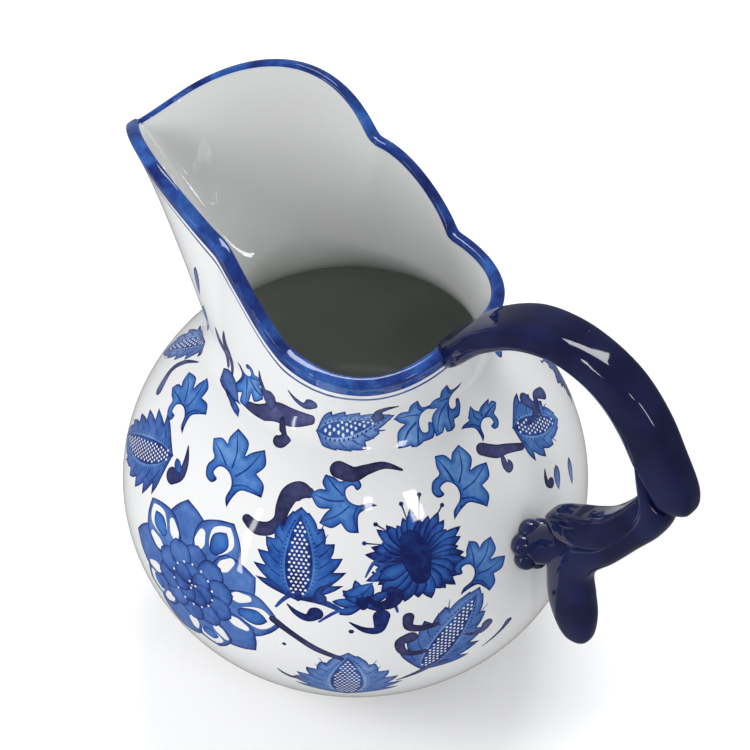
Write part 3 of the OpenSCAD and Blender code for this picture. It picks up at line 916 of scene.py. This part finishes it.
cobalt = placed(w, cobalt_tree, Amount=w.math("MAXIMUM", amount, rim_band.outputs["Amount"]),
                Greyness=w.math("MAXIMUM", w.math("MULTIPLY", greyness, painted_here),
                                w.math("MULTIPLY", on_band, rim_band.outputs["Greyness"])),
                Glaze=glaze.outputs["Color"])
glazed(w, shader, cobalt.outputs["Color"], glaze, 0.00012)
body.data.materials.append(painted_porcelain)
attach(body, "root")
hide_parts("body_globe", "neck_spout")

# The rim is a rounded roll of clay, pulled up from the wall and sponged, then banded in strong cobalt.
ROLL_SECTION = [(1, 0), (0.99, 0.3), (0.96, 0.6), (0.81, 0.82), (0.5, 0.91), (0, 0.93), (-0.5, 0.91),
                (-0.86, 0.8), (-1.06, 0.5), (-1, 0)]
ROLL_STEP = 0.16
section = smooth_line(ROLL_SECTION, step=ROLL_STEP)
rim_tips = np.array([np.interp(np.abs((ring_angles + pi) % tau - pi), rim_angles, values)
                     for values in (rim_radius, rim_height)])
tips = np.stack([rim_tips[0] * np.cos(ring_angles), rim_tips[0] * np.sin(ring_angles), rim_tips[1]], -1)
outer_edge = at_level(skin, 2.0)
inner_edge = outer_edge - WALL * at_level(skin_normal, 2.0)
middle, half_wall, rise = (outer_edge + inner_edge) / 2, (outer_edge - inner_edge) / 2, tips - outer_edge
roll_points = [middle + half_wall * q[0] + rise * q[1] for q in section]
roll_count = len(section)
roll_faces = []
for k in range(roll_count):
    for i in range(RIM_POINTS):
        j, n = (i + 1) % RIM_POINTS, (k + 1) % roll_count
        roll_faces.append((k * RIM_POINTS + i, k * RIM_POINTS + j, n * RIM_POINTS + j, n * RIM_POINTS + i))
roll = new_piece("rim_roll", np.vstack(roll_points), roll_faces)
lengths = np.hypot(*(np.diff(section, axis=0) * [WALL / 2, RIM_HEIGHT]).T)
travelled = np.concatenate([[0], np.cumsum(lengths)])
roll_gap = RIM_HEIGHT - travelled
layer = roll.data.attributes.new("under_rim", "FLOAT", "POINT")
layer.data.foreach_set("value", np.repeat(roll_gap, RIM_POINTS).astype(np.float32))
rim_blue, w, shader = new_material("rim blue")
rim_band = placed(w, band_tree, **{"Under Rim": w.read("under_rim"), "Inner Edge": -5.2})
glaze = placed(w, glaze_tree, Tint=PORCELAIN)
cobalt = placed(w, cobalt_tree, Amount=rim_band.outputs["Amount"], Greyness=rim_band.outputs["Greyness"],
                Glaze=glaze.outputs["Color"])
glazed(w, shader, cobalt.outputs["Color"], glaze, 0.00012)
roll.data.materials.append(rim_blue)
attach(roll, "root")
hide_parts("rim_edge")

# The jug stands on a turned foot ring. Its edge is wiped bare before firing, so it doesn't stick.
foot_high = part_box("foot_ring")[1]
FOOT_WIDTH = 6.0 * MM
FOOT_ROUNDING = 1.5 * MM
FOOT_TUCK = 1.5 * MM


def size_tree(name, values):
    """A Geometry Nodes tree with named sizes and a glaze; returns it, its wiring and its inputs."""
    tree = bpy.data.node_groups.new(name, "GeometryNodeTree")
    tree.interface.new_socket("Geometry", in_out="INPUT", socket_type="NodeSocketGeometry")
    for label, value in values.items():
        kind = "NodeSocketInt" if isinstance(value, int) else "NodeSocketFloat"
        tree.interface.new_socket(label, in_out="INPUT", socket_type=kind).default_value = value
    tree.interface.new_socket("Glaze", in_out="INPUT", socket_type="NodeSocketMaterial")
    tree.interface.new_socket("Geometry", in_out="OUTPUT", socket_type="NodeSocketGeometry")
    g = Wiring(tree)
    return tree, g, g.node("NodeGroupInput").outputs


def close_tree(g, sizes, shape):
    real = g.node("GeometryNodeRealizeInstances", {"Geometry": shape})
    coated = g.node("GeometryNodeSetMaterial", {"Geometry": real.outputs[0], "Material": sizes["Glaze"]})
    g.node("NodeGroupOutput", {"Geometry": coated.outputs[0]})


foot_tree, g, sizes = size_tree(
    "turned foot ring", {"Middle Radius": 0.03, "Width": 0.006, "Height": 0.008, "Rounding": 0.0015})
circle = g.node("GeometryNodeCurvePrimitiveCircle", {"Resolution": 180, "Radius": sizes["Middle Radius"]})
block = g.node("GeometryNodeCurvePrimitiveQuadrilateral",
               {"Width": sizes["Width"], "Height": sizes["Height"]})
rounded = g.node("GeometryNodeFilletCurve",
                 {"Curve": block.outputs[0], "Radius": sizes["Rounding"], "Count": 5}, mode="POLY")
swept = g.node("GeometryNodeCurveToMesh", {"Curve": circle.outputs[0], "Profile Curve": rounded.outputs[0]})
raised = g.node("ShaderNodeCombineXYZ", {"Z": g.math("MULTIPLY", sizes["Height"], 0.5)})
lift = g.node("GeometryNodeTransform", {"Geometry": swept.outputs[0], "Translation": raised.outputs[0]})
close_tree(g, sizes, lift.outputs[0])

foot_glaze, w, shader = new_material("foot glaze and bare edge")
glaze = placed(w, glaze_tree, Tint=PORCELAIN)
place = w.place()
height = w.node("ShaderNodeSeparateXYZ", {0: place})
grain = w.noise(place, 2400, 3, 0.7)
wavering = w.math("ADD", height.outputs[2], w.math("MULTIPLY", w.noise(place, 120, 2), 0.0006))
bare = w.fade(wavering, 0.0012, 0.0016, 1.0, 0.0)
biscuit = w.mix(grain, (0.62, 0.58, 0.52, 1), (0.74, 0.71, 0.66, 1))
w.join(w.mix(bare, glaze.outputs["Color"], biscuit), shader.inputs["Base Color"])
w.join(w.math("MAXIMUM", glaze.outputs["Roughness"], w.math("MULTIPLY", bare, 0.75)),
       shader.inputs["Roughness"])


def grown(name, tree, values):
    """Runs a Geometry Nodes tree with the sizes given and keeps the result as a plain mesh piece."""
    seed = bpy.data.objects.new(name + "_seed", bpy.data.meshes.new(name + "_seed"))
    bpy.context.scene.collection.objects.link(seed)
    modifier = seed.modifiers.new("nodes", "NODES")
    modifier.node_group = tree
    sockets = {s.name: s.identifier for s in tree.interface.items_tree if s.in_out == "INPUT"}
    for label, value in values.items():
        modifier[sockets[label]] = value
    ready = seed.evaluated_get(bpy.context.evaluated_depsgraph_get())
    mesh = bpy.data.meshes.new_from_object(ready)
    piece = bpy.data.objects.new(name, mesh)
    bpy.context.scene.collection.objects.link(piece)
    seed.modifiers.remove(modifier)
    bpy.data.objects.remove(seed)
    mesh.shade_smooth()
    return piece


foot = grown("foot_ring_glazed", foot_tree, {
    "Middle Radius": foot_high.x - FOOT_WIDTH / 2, "Width": FOOT_WIDTH,
    "Height": foot_high.z + FOOT_TUCK, "Rounding": FOOT_ROUNDING, "Glaze": foot_glaze})
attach(foot, "root")
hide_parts("foot_ring")

# The handle is pulled and pressed from strips of clay, scored and stuck on with slip: an arched arm that
# ends in a free tongue, a stem under it that turns down into a leaf, and a curl that bridges the fork.
ARM_ROWS = [
    [37.6, 144.6, 34, 4.6, 8], [41.2, 148.6, 34, 4.6, 9.5], [49.5, 158.6, 42, 4.4, 9.2],
    [62, 167.8, 22, 4.4, 8.6], [75, 171.6, 4, 4.8, 7.6], [86.6, 170.7, -14, 6, 6.7],
    [96.5, 166.6, -34, 7.3, 6], [104.8, 159.2, -47, 8, 5.4], [111.1, 150.5, -53, 8.15, 5],
    [116.9, 142.6, -55, 7.8, 4.5], [119.7, 138.4, -56, 6.3, 3.9], [121.2, 136.4, -56, 4.2, 2.8],
    [121.8, 135.5, -56, 2, 1.4]]
STEM_ROWS = [
    [107.4, 144.5, 221.5, 5.2, 4.2], [109.6, 139.7, 226, 6, 4.8], [113, 132.4, 258, 5.6, 5],
    [111.6, 124.6, 251, 4.8, 5], [106.2, 114.4, 242, 4, 5], [99.2, 103.6, 234, 4.4, 5],
    [91.2, 95.6, 236, 6.4, 4.9], [87.2, 88, 256, 7.8, 4.7], [88, 79, 272, 8.5, 4.5],
    [89.7, 70.5, 279, 8.6, 4.3], [91.6, 62.8, 281, 6.8, 3.7], [92.6, 58.6, 282, 4.4, 2.8],
    [93, 56.9, 282, 1.4, 1.2]]
CURL_ROWS = [
    [110.6, 132.4, 252, 3.6, 3.4], [106.6, 123.6, 243, 4.4, 4.6], [101.2, 115.4, 234, 5, 5.2],
    [95.2, 109.4, 220, 5.6, 5.6], [88.4, 105.2, 208, 5.6, 5.4], [82.6, 102.4, 205, 5, 4.7],
    [79, 100.9, 205, 3.6, 3.6], [77.4, 100.4, 205, 1.6, 1.8]]
STRIP_STEPS = 9
STRIP_RING = 48


def strip(name, rows, squareness):
    """A strip of clay swept through rows of [x, z, direction, half depth, half width]."""
    p = np.array(rows, float)
    line = []
    for i in range(len(p) - 1):
        before, after = p[max(i - 1, 0)], p[min(i + 2, len(p) - 1)]
        t = (np.arange(STRIP_STEPS) / STRIP_STEPS)[:, None]
        a, b = p[i], p[i + 1]
        line.append(0.5 * (2 * a + (b - before) * t + (2 * before - 5 * a + 4 * b - after) * t**2
                           + (3 * a - before - 3 * b + after) * t**3))
    line = np.vstack(line + [p[-1:]])
    turns = np.arange(STRIP_RING) * tau / STRIP_RING
    across = np.sign(np.cos(turns)) * np.abs(np.cos(turns)) ** squareness
    side = np.sign(np.sin(turns)) * np.abs(np.sin(turns)) ** squareness
    rings = []
    for x, z, direction, deep, wide in line:
        lean = radians(direction)
        rings.append(np.stack([x - sin(lean) * deep * across, wide * side, z + cos(lean) * deep * across], 1))
    points = np.vstack(rings + [[[line[0, 0], 0, line[0, 1]]], [[line[-1, 0], 0, line[-1, 1]]]])
    n, faces = STRIP_RING, []
    for i in range(len(rings) - 1):
        for j in range(n):
            k = (j + 1) % n
            faces.append((i * n + j, i * n + k, (i + 1) * n + k, (i + 1) * n + j))
    first, last = len(points) - 2, len(points) - 1
    for j in range(n):
        k = (j + 1) % n
        faces.append((k, j, first))
        faces.append(((len(rings) - 1) * n + j, (len(rings) - 1) * n + k, last))
    return new_piece(name, points, faces)


cobalt_glaze, w, shader = new_material("deep cobalt glaze")
place = w.place()
thin = w.fade(w.noise(place, 60, 2), 0.35, 0.75)
geometry_read = w.node("ShaderNodeNewGeometry")
# The colour is paler along the strips' sharp ridges, found from pointiness.
paler_on_ridges = w.fade(geometry_read.outputs["Pointiness"], 0.51, 0.58)
deep = w.mix(thin, (0.003, 0.004, 0.028, 1), (0.008, 0.011, 0.052, 1))
glaze = placed(w, glaze_tree, Tint=PORCELAIN, Ripple=1.3)
glazed(w, shader, w.mix(w.math("MULTIPLY", paler_on_ridges, 0.5), deep, (0.035, 0.05, 0.15, 1)), glaze, 0.00015)
arm = strip("handle_arm_strap", ARM_ROWS, 0.5)
stem = strip("handle_stem_and_leaf", STEM_ROWS, 0.8)
curl = strip("handle_curl", CURL_ROWS, 0.5)
for piece, nodes in ((arm, ["handle_arm"]), (stem, ["handle_stem", "handle_tail_leaf"]),
                     (curl, ["handle_curl_leaf"])):
    piece.data.materials.append(cobalt_glaze)
    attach(piece, "root")
    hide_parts(*nodes)

# A moulded sprig covers the joint between the handle's leaf and the belly: small lobes round a boss.
SPRIG_HEIGHT = 84.5
sprig_x = GLOBE_RADIUS * np.sqrt(1 - ((SPRIG_HEIGHT - BELLY_HEIGHT) / UPPER_DEPTH) ** 2)
sprig_tree, g, sizes = size_tree(
    "sprig lobes", {"Ring Radius": 0.005, "Lobe Size": 0.003, "Boss Size": 0.004, "Lobes": 6})
ring = g.node("GeometryNodeMeshCircle", {"Vertices": sizes["Lobes"], "Radius": sizes["Ring Radius"]})
lobe = g.node("GeometryNodeMeshUVSphere", {"Segments": 24, "Rings": 14, "Radius": sizes["Lobe Size"]})
lobes = g.node("GeometryNodeInstanceOnPoints", {"Points": ring.outputs[0], "Instance": lobe.outputs[0]})
boss = g.node("GeometryNodeMeshUVSphere", {"Segments": 28, "Rings": 16, "Radius": sizes["Boss Size"]})
together = g.node("GeometryNodeJoinGeometry", {"Geometry": lobes.outputs[0]})
g.join(boss.outputs[0], together.inputs[0])
close_tree(g, sizes, together.outputs[0])
sprig = grown("handle_sprig_boss", sprig_tree, {
    "Ring Radius": 4.9 * MM, "Lobe Size": 3.7 * MM, "Boss Size": 5.6 * MM, "Lobes": 6,
    "Glaze": cobalt_glaze})
steep = np.arctan2((SPRIG_HEIGHT - BELLY_HEIGHT) / UPPER_DEPTH**2, sprig_x / GLOBE_RADIUS**2)
facing = Matrix.Rotation(pi / 2 - steep, 4, "Y")
sprig.data.transform(Matrix.Translation(((sprig_x + 1.6) * MM, 0, (SPRIG_HEIGHT + 0.4) * MM)) @ facing)
LINK_ROWS = [[72, 84.6, 40, 6.4, 6.2], [76, 87.6, 42, 6.2, 5.8], [80.2, 91.4, 42, 6, 5],
             [84.6, 95, 40, 5.4, 4.6], [88, 97.6, 38, 4, 3.6]]
link = strip("handle_link", LINK_ROWS, 1.0)
link.data.materials.append(cobalt_glaze)
for piece in (sprig, link):
    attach(piece, "root")
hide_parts("handle_sprig")

# The jug stands on a pale table under soft windows, seen from above on the side of its painted flowers.
TABLE_SIZE = 6.0
table_mesh = bpy.data.meshes.new("table")
table_mesh.from_pydata([(x * TABLE_SIZE, y * TABLE_SIZE, 0) for x, y in ((-1, -1), (1, -1), (1, 1), (-1, 1))],
                       [], [(0, 1, 2, 3)])
table = bpy.data.objects.new("table", table_mesh)
bpy.context.scene.collection.objects.link(table)
table_top, w, shader = new_material("pale table")
place = w.place()
w.join(w.mix(w.noise(place, 9, 3), (0.90, 0.90, 0.90, 1), (0.93, 0.93, 0.93, 1)), shader.inputs["Base Color"])
shader.inputs["Roughness"].default_value = 0.65
shader.inputs["Specular IOR Level"].default_value = 0.1
table_mesh.materials.append(table_top)

camera = bpy.data.objects.new("camera", bpy.data.cameras.new("camera"))
bpy.context.scene.collection.objects.link(camera)
bpy.context.scene.camera = camera
CAMERA_AZIMUTH, CAMERA_ELEVATION, CAMERA_ROLL = radians(40.5), radians(44.0), radians(2.73)
back = Vector((sin(CAMERA_AZIMUTH) * cos(CAMERA_ELEVATION), -cos(CAMERA_AZIMUTH) * cos(CAMERA_ELEVATION),
               sin(CAMERA_ELEVATION)))
level_right = Vector((cos(CAMERA_AZIMUTH), sin(CAMERA_AZIMUTH), 0))
level_up = back.cross(level_right)
right = level_right * cos(CAMERA_ROLL) + level_up * sin(CAMERA_ROLL)
up = level_up * cos(CAMERA_ROLL) - level_right * sin(CAMERA_ROLL)
globe_middle = Vector((0, 0, BELLY_HEIGHT * MM))
stand = globe_middle + right * 0.00627 + up * 0.0324 + back * 0.7854
camera.matrix_world = Matrix.Translation(stand) @ Matrix((right, up, back)).transposed().to_4x4()
camera.data.lens = 116.5
camera.data.sensor_width = 36


def window(name, aim, place, width, height, watts, tint=(1, 1, 1)):
    """A soft rectangular light that faces a point."""
    lamp = bpy.data.lights.new(name, "AREA")
    lamp.shape = "RECTANGLE"
    lamp.size, lamp.size_y = width, height
    lamp.energy = watts
    lamp.color = tint
    made = bpy.data.objects.new(name, lamp)
    made.location = place
    made.rotation_euler = (Vector(aim) - Vector(place)).to_track_quat("-Z", "Y").to_euler()
    bpy.context.scene.collection.objects.link(made)
    return made


key = window("left window", (0, 0, 0.08), (-0.62, -0.95, 0.75), 0.5, 0.7, 8)
key.visible_glossy = False
window("top window", (0, 0, 0.1), (-0.3, 0.5, 1.3), 0.7, 0.4, 9)
window("side strip", (0, 0, 0.09), (-0.13, -1.1, 0.2), 0.045, 0.7, 1.3)
window("small window", (0, 0, 0.1), (0.74, -0.64, 0.95), 0.09, 0.14, 0.7)
window("right window", (0, 0, 0.08), (0.95, -0.25, 0.8), 0.12, 0.3, 1.6)
world = bpy.data.worlds.new("studio")
bpy.context.scene.world = world
world.use_nodes = True
SKY_STRENGTH = 0.7
SKY_DIMMED = 0.5
sky = world.node_tree.nodes["Background"]
sky.inputs["Color"].default_value = (0.97, 0.98, 1.0, 1)
w = Wiring(world.node_tree)
in_glaze = w.node("ShaderNodeLightPath").outputs["Is Glossy Ray"]
w.join(w.math("SUBTRACT", SKY_STRENGTH, w.math("MULTIPLY", in_glaze, SKY_DIMMED)), sky.inputs["Strength"])
table.visible_glossy = False
bpy.context.scene.view_settings.view_transform = "Standard"
